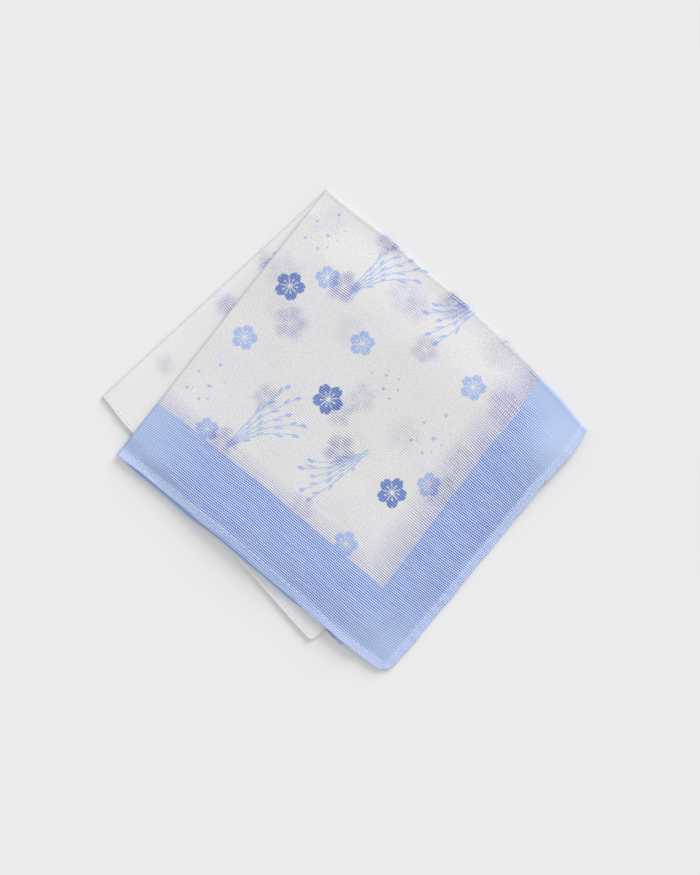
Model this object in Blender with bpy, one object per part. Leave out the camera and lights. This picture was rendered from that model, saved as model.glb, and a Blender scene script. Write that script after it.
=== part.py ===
"""Handkerchief: one square of printed cotton gauze, folded in half twice and laid down flat.

The flat cloth has two directions: across, from the back side hem to the face side hem, and along,
from the front hem to the rear hem. The first fold runs along the cloth and makes a pair of layers,
face on top and back beneath. The second fold turns that pair under itself, a little askew, so the
lower pair of layers shows at the left and at the front. Four layers lie on each other, a little
apart, and are one closed solid. Underside flat at z = 0, origin at the middle of the footprint.
"""

import math
from collections import namedtuple

import bmesh
import bpy

MM = 0.001

# The flat cloth
FACE_WIDTH = 176.0 * MM  # first fold to the side hem of the upper layer
BACK_WIDTH = 163.0 * MM  # first fold to the other side hem, which lies short of it
LENGTH = 326.0 * MM  # front hem to rear hem
THICKNESS = 1.0 * MM
HEM_ZONE = 7.5 * MM

# How the layers lie
PAIR_GAP = 0.35 * MM  # between the two layers of a pair
STACK_GAP = 0.5 * MM  # between the upper and the lower pair
SECOND_FOLD_AT = 168.4 * MM  # from the front hem to where the second fold starts to turn
SECOND_FOLD_TILT = math.radians(-4.5)  # off square to the first fold

# Grid
CELL = 13.0 * MM
HEM_CELLS = 3
FIRST_FOLD_CELLS = 8
SECOND_FOLD_CELLS = 10

# Each corner of the flat cloth is rounded. No corner is rounder than HEM_ZONE.
Corner = namedtuple("Corner", "side end radius")
CORNERS = (
    Corner(side="face", end="front", radius=7.5 * MM),
    Corner(side="back", end="front", radius=4.0 * MM),
    Corner(side="face", end="rear", radius=1.0 * MM),
    Corner(side="back", end="rear", radius=3.0 * MM),
)

# Hems stray from their straight lines: "at" is the place along the hem, "out" is outwards.
Stray = namedtuple("Stray", "at out")
FRONT_HEM = (
    Stray(at=-163 * MM, out=3.0 * MM),
    Stray(at=-105 * MM, out=3.1 * MM),
    Stray(at=-55 * MM, out=2.5 * MM),
    Stray(at=-20 * MM, out=1.5 * MM),
    Stray(at=0 * MM, out=0.4 * MM),
    Stray(at=60 * MM, out=1.2 * MM),
    Stray(at=100 * MM, out=2.5 * MM),
    Stray(at=150 * MM, out=3.0 * MM),
    Stray(at=176 * MM, out=2.8 * MM),
)
REAR_HEM = (
    Stray(at=-163 * MM, out=6.8 * MM),
    Stray(at=-96 * MM, out=5.2 * MM),
    Stray(at=-21 * MM, out=1.6 * MM),
    Stray(at=0 * MM, out=0.0 * MM),
    Stray(at=90 * MM, out=-1.4 * MM),
    Stray(at=176 * MM, out=-3.4 * MM),
)
FACE_SIDE_HEM = (
    Stray(at=0 * MM, out=0.5 * MM),
    Stray(at=60 * MM, out=1.8 * MM),
    Stray(at=100 * MM, out=2.4 * MM),
    Stray(at=120 * MM, out=2.4 * MM),
    Stray(at=130 * MM, out=3.8 * MM),
    Stray(at=145 * MM, out=4.4 * MM),
    Stray(at=160 * MM, out=3.0 * MM),
    Stray(at=230 * MM, out=0.5 * MM),
    Stray(at=326 * MM, out=-1.0 * MM),
)
BACK_SIDE_HEM = (
    Stray(at=0 * MM, out=1.0 * MM),
    Stray(at=90 * MM, out=-1.0 * MM),
    Stray(at=200 * MM, out=1.0 * MM),
    Stray(at=326 * MM, out=0.0 * MM),
)

# The second fold bows away from the cloth: "at" is measured from the first fold.
SECOND_FOLD_BOW = (
    Stray(at=-30 * MM, out=0.0 * MM),
    Stray(at=0 * MM, out=0.3 * MM),
    Stray(at=50 * MM, out=3.5 * MM),
    Stray(at=100 * MM, out=5.2 * MM),
    Stray(at=127 * MM, out=4.8 * MM),
    Stray(at=150 * MM, out=2.8 * MM),
    Stray(at=180 * MM, out=0.0 * MM),
)
BOW_FROM = 55.0 * MM
BOW_TO = 150.0 * MM

# The cloth is springy behind the second fold and lies in low swells elsewhere.
CROWN_HEIGHT = 1.1 * MM
CROWN_TO_FOLD = 36.0 * MM
CROWN_REACH = 26.0 * MM
Swell = namedtuple("Swell", "x y reach_x reach_y height")
SWELLS = (
    Swell(x=172 * MM, y=132 * MM, reach_x=22 * MM, reach_y=18 * MM, height=0.9 * MM),
    Swell(x=60 * MM, y=8 * MM, reach_x=55 * MM, reach_y=24 * MM, height=0.6 * MM),
    Swell(x=120 * MM, y=70 * MM, reach_x=30 * MM, reach_y=45 * MM, height=0.35 * MM),
    Swell(x=28 * MM, y=95 * MM, reach_x=26 * MM, reach_y=40 * MM, height=0.45 * MM),
)

# The first fold turns about a line between the pair, the second about a line between the pairs.
FIRST_RADIUS = (THICKNESS + PAIR_GAP) / 2
PAIR_THICKNESS = 2 * THICKNESS + PAIR_GAP
SECOND_RADIUS = (PAIR_THICKNESS + STACK_GAP) / 2
SECOND_AXIS_HEIGHT = PAIR_THICKNESS + STACK_GAP / 2
LOWEST_MIDDLE = THICKNESS / 2
HIGHEST_MIDDLE = 2 * SECOND_AXIS_HEIGHT - THICKNESS / 2


def smooth(share):
    """An S-shaped ramp from 0 to 1."""
    share = min(max(share, 0.0), 1.0)
    return share * share * (3 - 2 * share)


def stray(table, at):
    """Reads a hem's table, with a smooth run between its rows."""
    if at <= table[0].at:
        return table[0].out
    for low, high in zip(table, table[1:]):
        if at <= high.at:
            return low.out + (high.out - low.out) * smooth((at - low.at) / (high.at - low.at))
    return table[-1].out


def evenly(start, end, cell):
    """Equal steps from start up to but without end."""
    count = max(1, round(abs(end - start) / cell))
    return [start + (end - start) * step / count for step in range(count)]


def across_stations():
    """Grid lines from the back side hem, around the first fold, to the face side hem."""
    hem_cell = HEM_ZONE / HEM_CELLS
    turn = FIRST_RADIUS * math.pi / 2
    back_start = HEM_ZONE - BACK_WIDTH
    face_end = FACE_WIDTH - HEM_ZONE
    return (
        evenly(-BACK_WIDTH, back_start, hem_cell)
        + evenly(back_start, -turn, CELL)
        + evenly(-turn, turn, 2 * turn / FIRST_FOLD_CELLS)
        + evenly(turn, face_end, CELL)
        + evenly(face_end, FACE_WIDTH, hem_cell)
        + [FACE_WIDTH]
    )


def along_stations(across):
    """Grid lines from the front hem to the rear hem. They crowd where the second fold turns."""
    hem_cell = HEM_ZONE / HEM_CELLS
    start = (SECOND_FOLD_AT + abs(across) * math.sin(SECOND_FOLD_TILT)) / math.cos(SECOND_FOLD_TILT)
    end = start + SECOND_RADIUS * math.pi / math.cos(SECOND_FOLD_TILT)
    rear_start = LENGTH - HEM_ZONE
    shares_before = evenly(0.0, 1.0, CELL / SECOND_FOLD_AT)
    shares_turning = evenly(0.0, 1.0, 1.0 / SECOND_FOLD_CELLS)
    shares_after = evenly(0.0, 1.0, CELL / (LENGTH / 2))
    return (
        evenly(0.0, HEM_ZONE, hem_cell)
        + [HEM_ZONE + (start - HEM_ZONE) * share for share in shares_before]
        + [start + (end - start) * share for share in shares_turning]
        + [end + (rear_start - end) * share for share in shares_after]
        + evenly(rear_start, LENGTH, hem_cell)
        + [LENGTH]
    )


def round_corner(across, along):
    """Draws the four corners of the flat cloth in to their radii."""
    side = "face" if across > 0 else "back"
    end = "front" if along < LENGTH / 2 else "rear"
    radius = next(corner.radius for corner in CORNERS if (corner.side, corner.end) == (side, end))
    side_centre = (FACE_WIDTH if side == "face" else BACK_WIDTH) - radius
    end_centre = LENGTH / 2 - radius
    outward = (abs(across) - side_centre) / radius
    endward = (abs(along - LENGTH / 2) - end_centre) / radius
    if outward <= 0 or endward <= 0:
        return across, along
    rounded_out = side_centre + radius * outward * math.sqrt(1 - endward * endward / 2)
    rounded_end = end_centre + radius * endward * math.sqrt(1 - outward * outward / 2)
    return (
        math.copysign(rounded_out, across),
        LENGTH / 2 + math.copysign(rounded_end, along - LENGTH / 2),
    )


def shape_hems(across, along):
    """Moves the flat cloth's edges to where its hems stray. The shift fades towards the middle."""
    front_share = max(0.0, 1 - 2 * along / LENGTH)
    rear_share = max(0.0, 2 * along / LENGTH - 1)
    along_shift = stray(REAR_HEM, across) * rear_share - stray(FRONT_HEM, across) * front_share
    if across > 0:
        across_shift = stray(FACE_SIDE_HEM, along) * across / FACE_WIDTH
    else:
        across_shift = stray(BACK_SIDE_HEM, along) * across / BACK_WIDTH
    return across + across_shift, along + along_shift


def first_fold(across, offset):
    """Sideways place and height of a point offset from the cloth's middle towards its printed face."""
    turn = FIRST_RADIUS * math.pi / 2
    if abs(across) > turn:
        side = math.copysign(1.0, across)
        return FIRST_RADIUS + abs(across) - turn, side * (FIRST_RADIUS + offset)
    angle = across / FIRST_RADIUS
    radius = FIRST_RADIUS + offset
    return FIRST_RADIUS - radius * math.cos(angle), radius * math.sin(angle)


def second_fold(x, y, z):
    """Turns the pair of layers under itself, about a line across it."""
    ahead_x, ahead_y = -math.sin(SECOND_FOLD_TILT), math.cos(SECOND_FOLD_TILT)
    past = x * ahead_x + y * ahead_y - SECOND_FOLD_AT
    radius = SECOND_RADIUS + z
    angle = min(max(past / SECOND_RADIUS, 0.0), math.pi)
    if angle < math.pi:
        reach = min(past, 0.0) + radius * math.sin(angle)
    else:
        reach = SECOND_RADIUS * math.pi - past
    moved = reach - past
    return x + ahead_x * moved, y + ahead_y * moved, SECOND_AXIS_HEIGHT + radius * math.cos(angle)


def rise(x, y):
    """How far the top layer stands above flat at a place. The layers beneath share it out."""
    to_fold = SECOND_FOLD_AT - (y * math.cos(SECOND_FOLD_TILT) - x * math.sin(SECOND_FOLD_TILT))
    height = CROWN_HEIGHT * math.exp(-(((to_fold - CROWN_TO_FOLD) / CROWN_REACH) ** 2))
    for swell in SWELLS:
        far = ((x - swell.x) / swell.reach_x) ** 2 + ((y - swell.y) / swell.reach_y) ** 2
        height += swell.height * math.exp(-far)
    return height


def folded(across, along, offset):
    """Where a point of the flat cloth lies in the folded one."""
    across, along = shape_hems(*round_corner(across, along))
    x, z = first_fold(across, offset)
    x, y, z = second_fold(x, along, z)
    middle_x, middle_z = first_fold(across, 0.0)
    middle_x, middle_y, middle_z = second_fold(middle_x, along, middle_z)
    layer_share = (middle_z - LOWEST_MIDDLE) / (HIGHEST_MIDDLE - LOWEST_MIDDLE)
    z += layer_share * rise(middle_x, middle_y)
    y += stray(SECOND_FOLD_BOW, x) * smooth((y - BOW_FROM) / (BOW_TO - BOW_FROM))
    return x, y, z


def cloth_mesh():
    """A sheet of THICKNESS: a grid for the printed face, one for the back, and a rim between them."""
    mesh = bmesh.new()
    columns = []
    for across in across_stations():
        column = []
        for along in along_stations(across):
            face = mesh.verts.new(folded(across, along, THICKNESS / 2))
            back = mesh.verts.new(folded(across, along, -THICKNESS / 2))
            column.append((face, back))
        columns.append(column)
    for left, right in zip(columns, columns[1:]):
        for low in range(len(left) - 1):
            corners = (left[low], right[low], right[low + 1], left[low + 1])
            mesh.faces.new([face for face, back in corners])
            mesh.faces.new([back for face, back in reversed(corners)])
    edge = [column[0] for column in columns]
    edge += columns[-1][1:]
    edge += [column[-1] for column in reversed(columns[:-1])]
    edge += reversed(columns[0][1:-1])
    for here, there in zip(edge, edge[1:] + edge[:1]):
        mesh.faces.new((here[1], there[1], there[0], here[0]))
    bmesh.ops.recalc_face_normals(mesh, faces=mesh.faces)
    return mesh


def centre_footprint(mesh):
    """Puts the origin under the middle of the cloth's footprint."""
    for axis in (0, 1):
        places = [vertex.co[axis] for vertex in mesh.verts]
        middle = (min(places) + max(places)) / 2
        for vertex in mesh.verts:
            vertex.co[axis] -= middle


def gauze_material():
    """White cotton gauze, matt."""
    material = bpy.data.materials.new("printed_gauze")
    material.use_nodes = True
    surface = material.node_tree.nodes["Principled BSDF"]
    surface.inputs["Base Color"].default_value = (0.80, 0.80, 0.84, 1.0)
    surface.inputs["Roughness"].default_value = 0.9
    surface.inputs["Metallic"].default_value = 0.0
    return material


def clear_scene():
    for item in list(bpy.data.objects):
        bpy.data.objects.remove(item, do_unlink=True)


def make_handkerchief():
    grid = cloth_mesh()
    centre_footprint(grid)
    data = bpy.data.meshes.new("handkerchief")
    grid.to_mesh(data)
    grid.free()
    data.materials.append(gauze_material())
    data.shade_smooth()
    data.set_sharp_from_angle(angle=math.radians(50))
    cloth = bpy.data.objects.new("handkerchief", data)
    bpy.context.scene.collection.objects.link(cloth)


clear_scene()
make_handkerchief()
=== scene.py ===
"""Looks of a folded gauze handkerchief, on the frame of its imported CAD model.

The cloth is one thin sheet with doubled hems, laid on the middles of the CAD solid's four layers by
the same two folds. Its hems are sewn with real stitches. The print, the weave and what shows
through from the layers beneath are nodes that read the cloth's own flat coordinates.
"""

import math
from collections import namedtuple

import bpy
import numpy as np
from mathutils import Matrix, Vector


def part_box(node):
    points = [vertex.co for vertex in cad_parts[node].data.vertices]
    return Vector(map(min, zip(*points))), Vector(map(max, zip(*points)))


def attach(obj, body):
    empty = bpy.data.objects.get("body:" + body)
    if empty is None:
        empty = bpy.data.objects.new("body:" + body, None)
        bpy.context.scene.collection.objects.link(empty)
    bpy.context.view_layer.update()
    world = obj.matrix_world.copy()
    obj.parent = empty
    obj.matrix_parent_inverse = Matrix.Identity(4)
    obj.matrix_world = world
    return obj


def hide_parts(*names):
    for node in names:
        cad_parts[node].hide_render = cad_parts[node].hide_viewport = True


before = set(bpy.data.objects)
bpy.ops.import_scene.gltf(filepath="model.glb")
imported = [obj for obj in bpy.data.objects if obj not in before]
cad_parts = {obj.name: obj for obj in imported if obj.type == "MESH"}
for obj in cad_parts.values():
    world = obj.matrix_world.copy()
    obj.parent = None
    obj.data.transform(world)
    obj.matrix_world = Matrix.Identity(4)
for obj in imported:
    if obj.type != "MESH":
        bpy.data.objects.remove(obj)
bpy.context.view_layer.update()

MM = 0.001


def rows_of(kind, *rows):
    """A short table. Its columns are the fields of the kind."""
    return [kind(*row) for row in rows]


# ---- Sizes shared with the CAD source

FACE_WIDTH = 176.0 * MM  # first fold to the side hem of the upper layer
BACK_WIDTH = 163.0 * MM  # first fold to the other side hem
LENGTH = 326.0 * MM  # front hem to rear hem
SOLID_THICKNESS = 1.0 * MM
PAIR_GAP = 0.35 * MM
STACK_GAP = 0.5 * MM
SECOND_FOLD_AT = 168.4 * MM
SECOND_FOLD_TILT = math.radians(-4.5)
BOW_FROM = 55.0 * MM
BOW_TO = 150.0 * MM
CROWN_HEIGHT = 1.1 * MM
CROWN_TO_FOLD = 36.0 * MM
CROWN_REACH = 26.0 * MM

FIRST_RADIUS = (SOLID_THICKNESS + PAIR_GAP) / 2
PAIR_THICKNESS = 2 * SOLID_THICKNESS + PAIR_GAP
SECOND_RADIUS = (PAIR_THICKNESS + STACK_GAP) / 2
SECOND_AXIS_HEIGHT = PAIR_THICKNESS + STACK_GAP / 2
LOWEST_MIDDLE = SOLID_THICKNESS / 2
HIGHEST_MIDDLE = 2 * SECOND_AXIS_HEIGHT - SOLID_THICKNESS / 2

Corner = namedtuple("Corner", "side end radius")
CORNERS = rows_of(
    Corner, (1, -1, 7.5 * MM), (-1, -1, 4.0 * MM), (1, 1, 1.0 * MM), (-1, 1, 3.0 * MM),
)

# "at" is the place along the hem and "out" is outwards, both in mm.
Stray = namedtuple("Stray", "at out")
FRONT_HEM = rows_of(
    Stray, (-163, 3.0), (-105, 3.1), (-55, 2.5), (-20, 1.5), (0, 0.4), (60, 1.2),
    (100, 2.5), (150, 3.0), (176, 2.8),
)
REAR_HEM = rows_of(
    Stray, (-163, 6.8), (-96, 5.2), (-21, 1.6), (0, 0.0), (90, -1.4), (176, -3.4),
)
FACE_SIDE_HEM = rows_of(
    Stray, (0, 0.5), (60, 1.8), (100, 2.4), (120, 2.4), (130, 3.8), (145, 4.4), (160, 3.0),
    (230, 0.5), (326, -1.0),
)
BACK_SIDE_HEM = rows_of(Stray, (0, 1.0), (90, -1.0), (200, 1.0), (326, 0.0))
SECOND_FOLD_BOW = rows_of(
    Stray, (-30, 0.0), (0, 0.3), (50, 3.5), (100, 5.2), (127, 4.8), (150, 2.8), (180, 0.0),
)

# Low swells of the top layer, in mm
Swell = namedtuple("Swell", "x y reach_x reach_y height")
SWELLS = rows_of(
    Swell, (172, 132, 22, 18, 0.9), (60, 8, 55, 24, 0.6), (120, 70, 30, 45, 0.35),
    (28, 95, 26, 40, 0.45),
)

# ---- Sizes of the fine cloth

CLOTH = 0.45 * MM  # thickness of the single gauze
CLEAR_OF_FLOOR = 0.02 * MM
SECOND_FOLD_PRESS = 0.56  # share of the stack's height taken away along a fold
FIRST_FOLD_PRESS = 0.33
PRESS_REACH = 17 * MM
HEM_SAG = 0.26  # the same along a hem
HEM_SAG_REACH = 10 * MM
# The front hem is lifted here.
FRONT_LIFT = Swell(x=64, y=-2, reach_x=48, reach_y=17, height=0.6)
# How far the sheet's front hem lies off the solid's. The run drawn in on the upper layer lets the
# blue hem beneath show.
FINE_FRONT_HEM = rows_of(
    Stray, (-112, 0.0), (-92, -0.7), (-64, -1.1), (-44, -0.2), (-30, 0.0), (0, 0.0),
    (18, -0.9), (52, -0.9), (70, -1.2), (88, -1.1), (112, -0.4), (130, 0.4), (150, 1.0),
    (176, 0.9),
)
# The upper pair sinks where it runs out over the lower pair's hems, its top layer further still.
DROOP = 1.35 * MM
DROOP_FROM = 1.0 * MM  # past the lower pair's hems
DROOP_REACH = 9.5 * MM
TOP_DROOP = 0.9 * MM
TOP_DROOP_FROM = 165.5 * MM  # across
TOP_DROOP_REACH = 9.0 * MM
TOP_DROOP_FROM_FOLD = 25.0 * MM
WIDE_HEM = 4.6 * MM  # on the two bordered edges
WIDE_HEM_EXTRA = 0.42 * MM
NARROW_HEM = 2.2 * MM  # on the two plain edges
NARROW_HEM_EXTRA = 0.2 * MM
HEM_STEP = 1.1 * MM  # over which a hem's extra thickness ends
HEM_ON_FACE = 0.35  # share of the extra thickness that stands on the printed face
# From the edge to each row of stitches
WIDE_SEAM = WIDE_HEM - 0.9 * MM
NARROW_SEAM = NARROW_HEM - 0.45 * MM
SEAM_DIP = 0.13 * MM
SEAM_DIP_REACH = 0.5 * MM
EDGE_ROUNDING = 0.3 * MM
CELL = 1.9 * MM
FIRST_FOLD_CELLS = 12
SECOND_FOLD_CELLS = 12
# Grid lines at a hem, in mm from the edge
HEM_LINES = (0.0, 0.35, 1.1, 1.7, 2.2, 2.8, 3.3, 3.7, 4.1, 4.4, 4.8, 5.4, 6.5, 8.0)

# "length" is the wavelength in mm, "turn" the direction it runs in, and "height" half its swing.
Wave = namedtuple("Wave", "length turn phase height")
LAYER_WAVES = rows_of(
    Wave, (61, 20, 0.4, 0.10), (43, 97, 2.1, 0.08), (29, -38, 4.0, 0.05),
    (19, 64, 1.2, 0.03),
)
EDGE_WAVES = rows_of(Wave, (23, 0, 0.8, 0.16), (11.3, 0, 2.9, 0.10), (6.1, 0, 5.1, 0.05))
EDGE_WAVE_REACH = 9 * MM
# Between one surface's waves and the next one's
SHIFT_TURN = 40  # degrees
SHIFT_PHASE = 2.3  # radians
PUCKER_LENGTH = 7.4 * MM
PUCKER_HEIGHT = 0.07 * MM
PUCKER_REACH = 1.3  # in hem widths
PUCKER_UNEVEN = 0.6
PUCKER_BEATS = (17 * MM, 41 * MM)  # along the hem, for one radian

# Stitches
STITCH_PITCH = 2.9 * MM
STITCH_LENGTH = 2.3 * MM
STITCH_RADIUS = 0.13 * MM
STITCH_RINGS = 5
STITCH_SIDES = 6
STITCH_END = 0.06  # squared share of the radius at a stitch's ends
STITCH_JITTER = 0.10  # in stitch pitches
STITCH_LEAN = 0.12 * MM
STITCH_ARCH = 1.1  # in radii, how far a stitch's middle stands over its base line
STITCH_SUNK = 0.6  # in radii, how far that line is under the cloth's face

# ---- Sizes of the print and the weave, in mm

FRONT_BORDER = 33.5
SIDE_BORDER_FROM = 147.8  # across, at the front hem
SIDE_BORDER_DRIFT = 0.037  # the printed edge leans a little off the threads
SIDE_BORDER_STRAIGHT = 150  # along, from where it leans no more
ROW_PITCH = 1.05
COLUMN_PITCH = 1.08
REPEAT_ACROSS = 104.0
REPEAT_ALONG = 96.0

# The field's print in one repeat; every second column of repeats drops by half.
Blossom = namedtuple("Blossom", "across along radius turn dark")
BLOSSOMS = rows_of(
    Blossom, (16, 24, 7.6, 12, 1), (28, 38, 6.2, 50, 0), (66, 87, 7.8, 31, 1),
    (62, 22, 6.4, 64, 0), (14, 86, 6.6, 5, 0),
)
Spray = namedtuple("Spray", "across along heading reach")
SPRAYS = rows_of(Spray, (41, 24, -4, 56), (99, 92, 182, 50))
STEM_CURVATURE = 0.0048  # per mm, between neighbouring stems
STRAIGHTEST_STEM = 0.006
STEMS = 5
STEM_WIDTH = 0.62
STEM_TIP_WIDTH = 0.7  # share of the width
STEM_TAPER_FROM = 0.4  # share of the reach
STEM_START = 13  # from the root
STEM_START_SWING = 3.0
STEM_SHORTER = 2.5  # each than the one before
STEM_REACH_SWING = 3.5
LEAF_PITCH = 7.5
LEAF_LENGTH = 1.9
LEAF_WIDTH = 0.6
LEAF_STAGGER = 1.7
LEAF_ASIDE = 0.95
LEAF_SLANT = 0.55
LEAVES_FROM = 0.42  # shares of the reach
LEAVES_FULL_FROM = 0.46
LEAVES_END = 2.0  # before the tip
BUD_LENGTH = 1.5
Cluster = namedtuple("Cluster", "across along reach_across reach_along")
CLUSTERS = rows_of(Cluster, (84, 10, 13, 11), (14, 56, 13, 14))
DOT_CELL = 6.2
DOT_RADIUS = 0.35
DOT_GROWTH = 0.6
PRINT_END = 262.0  # along; motifs that start past it are left out, so the rear is plain
FRONT_HEM_SEEN = 3.9
SIDE_HEM_SEEN = 4.1
PALING_END_ALONG = 150.0  # where the second fold meets the side hem
SIDE_HEM_TROUGH = 1.65  # between the paler outer edge and the paler seam
PETALS = 5
# Parts of a blossom. Widths are in mm, slimness and spread are ratios, the rest are shares of its
# radius.
PETAL_CENTRE = 0.56
PETAL_RADIUS = 0.44
PETAL_SLIMNESS = 1.25
NOTCH_FROM = 0.86
NOTCH_SPREAD = 0.55
SLIT_REACH = 0.60
SLIT_WIDTH = 0.22
STAMEN_REACH = 0.42
STAMEN_WIDTH = 0.16
TIP_AT = 0.46
TIP_WIDTH = 0.45
EYE_RADIUS = 0.12

# Colours are linear values. A tone has one for the thread's crown and one for the gaps between.
Tone = namedtuple("Tone", "thread gap")
WHITE = Tone(thread=(0.98, 0.975, 0.97), gap=(0.57, 0.575, 0.625))
BORDER = Tone(thread=(0.70, 0.84, 1.0), gap=(0.035, 0.08, 0.54))
# The border's paler tone: painted highlight at the second fold and its end, paler also near the
# first fold and the front corner.
PALE_BORDER_HIGHLIGHT = Tone(thread=(0.58, 0.70, 0.93), gap=(0.46, 0.58, 0.84))
HEM = Tone(thread=(0.83, 0.93, 1.0), gap=(0.29, 0.39, 0.90))
DARK = Tone(thread=(0.34, 0.44, 0.80), gap=(0.07, 0.13, 0.38))
LIGHT = Tone(thread=(0.53, 0.66, 0.98), gap=(0.26, 0.40, 0.74))
SMOOTHED_THREAD = 0.5
CREAM = (1.0, 0.992, 0.962)  # the ground's tint in places
PAINTED_LOWER_HEM_SHADOW = (0.58, 0.70, 0.97)  # painted shadow, a saturated blue, on the front hem that lies under the other
PAINTED_STRIP_SHADE = (0.95, 0.952, 0.965)  # painted shade on the plainer side of the first fold
PAINTED_FOLD_SHADE = (0.72, 0.722, 0.73)  # painted shade on the very edge of a fold, and faintly near the second fold
THREAD_COLOUR = (0.82, 0.86, 0.94)  # of the sewing thread
THREAD_SHADE = (0.66, 0.71, 0.84)
FLOOR_COLOUR = (0.89, 0.89, 0.896)
FLOOR_SHADE = (0.875, 0.875, 0.882)
SHOW_THROUGH = (0.31, 0.35, 0.72)  # what a dyed layer leaves of the light, seen through one layer

# How the three layers beneath show through, from the nearest down: the UV map that holds their
# places, their blur in mm, the shares of their inks, and whether they are on the other side of the
# first fold.
Beneath = namedtuple("Beneath", "uv_map soft border dark light flips")
LAYERS_BENEATH = rows_of(
    Beneath,
    ("beneath_first", 2.5, 0.35, 0.75, 0.5, True),
    ("beneath_second", 3.4, 0.35, 0.55, 0.35, True),
    ("beneath_third", 5.0, 0.0, 0.3, 0.2, False),
)
BENEATH_WANDER = 2.5  # by which noise moves what lies beneath, in mm
BLOT_WANDER = 2.2 * BENEATH_WANDER
# Blots of the print beneath on the strip beside the first fold, in mm on the cloth
Blot = namedtuple("Blot", "across along reach share")
STRIP_BLOTS = rows_of(
    Blot, (-9.5, 248, 9.5, 0.52), (-10.5, 291, 8.5, 0.36), (-4.5, 219, 6.5, 0.42),
)
# The border beneath shows along a part of its length, in mm along the cloth.
SeenRun = namedtuple("SeenRun", "nothing_at full_from full_to nothing_from")
BORDER_SEEN = SeenRun(nothing_at=198, full_from=236, full_to=282, nothing_from=304)
# Dye that has crept from the border into the gaps of the field
Bleed = namedtuple("Bleed", "reach strength")
SIDE_BLEED = Bleed(reach=18, strength=0.62)
FRONT_BLEED = Bleed(reach=10, strength=0.42)
BLEED_COLOUR = (0.30, 0.32, 0.74)
# Where the dye is paler and the weave smoother, by the distance in mm from the first fold, the
# second fold, the rounded corner, and the second fold's end at the side hem. At the second fold
# and its end the paling is painted highlight.
Paling = namedtuple("Paling", "none_at full_at paler smoother")
PALING_PLACES = rows_of(
    Paling, (45, 0, 0.55, 0.33), (24, 2, 0.7, 0.98), (48, 6, 0.6, 0.48), (38, 8, 0.85, 0.4675),
)
# Threads, in mm and as shares
WEAVE_DRIFT_SIZE = 42
ROW_DRIFT = 1.6
COLUMN_DRIFT = 1.1
Slub = namedtuple("Slub", "across along shift")
ROW_SLUB = Slub(across=9.0, along=0.8, shift=0.22)
COLUMN_SLUB = Slub(across=0.9, along=7.0, shift=0.25)
THREAD_FROM = -0.70  # of the cosine across a thread
THREAD_FULL = 0.80
CROSSING_SHARE = 0.42
SLUB_SHARE = 0.08
STROKE_SHARE = 0.12
LOOSE_STROKE_SHARE = 0.5
BACK_PALENESS = 0.22
ROUGHNESS = 0.92
BUMP_HEIGHT = 0.15 * MM
BUMP_STRENGTH = 0.8


# ---- The folds, on arrays of cloth coordinates

def smooth(share):
    """An S-shaped ramp from 0 to 1."""
    share = np.clip(share, 0.0, 1.0)
    return share * share * (3 - 2 * share)


def bell(far, reach):
    """1 at no distance, fading out past the reach."""
    return np.exp(-((far / reach) ** 2))


def stray(table, at):
    """Reads a hem's table, with a smooth run between its rows."""
    out = np.full(at.shape, float(table[0].out))
    for low, high in zip(table, table[1:]):
        out += (high.out - low.out) * smooth((at / MM - low.at) / (high.at - low.at))
    return out * MM


def waves(table, x, y, shift):
    """Height of crossing waves at a place. Another shift gives another surface."""
    height = np.zeros(np.shape(x))
    for wave in table:
        turn = math.radians(wave.turn + SHIFT_TURN * shift)
        run = (x * math.cos(turn) + y * math.sin(turn)) / MM
        phase = wave.phase + SHIFT_PHASE * shift
        height = height + wave.height * np.sin(2 * math.pi * run / wave.length + phase)
    return height * MM


def round_corner(across, along):
    """Draws the four corners of the flat cloth in to their radii."""
    across, along = across.copy(), along.copy()
    for corner in CORNERS:
        width = FACE_WIDTH if corner.side > 0 else BACK_WIDTH
        side_centre = width - corner.radius
        end_centre = LENGTH / 2 - corner.radius
        outward = (across * corner.side - side_centre) / corner.radius
        endward = ((along - LENGTH / 2) * corner.end - end_centre) / corner.radius
        here = (outward > 0) & (endward > 0)
        out, end = np.minimum(outward[here], 1.0), np.minimum(endward[here], 1.0)
        rounded_out = side_centre + corner.radius * out * np.sqrt(1 - end * end / 2)
        rounded_end = end_centre + corner.radius * end * np.sqrt(1 - out * out / 2)
        across[here] = corner.side * rounded_out
        along[here] = LENGTH / 2 + corner.end * rounded_end
    return across, along


def shape_hems(across, along):
    """Moves the flat cloth's edges to where its hems stray. The shift fades towards the middle."""
    front_share = np.maximum(0.0, 1 - 2 * along / LENGTH)
    rear_share = np.maximum(0.0, 2 * along / LENGTH - 1)
    front_out = stray(FRONT_HEM, across) + stray(FINE_FRONT_HEM, across)
    along_shift = stray(REAR_HEM, across) * rear_share - front_out * front_share
    face_shift = stray(FACE_SIDE_HEM, along) * across / FACE_WIDTH
    back_shift = stray(BACK_SIDE_HEM, along) * across / BACK_WIDTH
    return across + np.where(across > 0, face_shift, back_shift), along + along_shift


def first_fold(across, offset):
    """Sideways place and height of a point offset from the cloth's middle towards its face."""
    turn = FIRST_RADIUS * math.pi / 2
    side = np.where(across < 0, -1.0, 1.0)
    angle = np.clip(across / FIRST_RADIUS, -math.pi / 2, math.pi / 2)
    radius = FIRST_RADIUS + offset
    past = np.abs(across) > turn
    x = np.where(past, FIRST_RADIUS + np.abs(across) - turn, FIRST_RADIUS - radius * np.cos(angle))
    z = np.where(past, side * radius, radius * np.sin(angle))
    return x, z


def past_second_fold(x, y):
    """Distance past the line where the second fold starts to turn."""
    return y * math.cos(SECOND_FOLD_TILT) - x * math.sin(SECOND_FOLD_TILT) - SECOND_FOLD_AT


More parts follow.
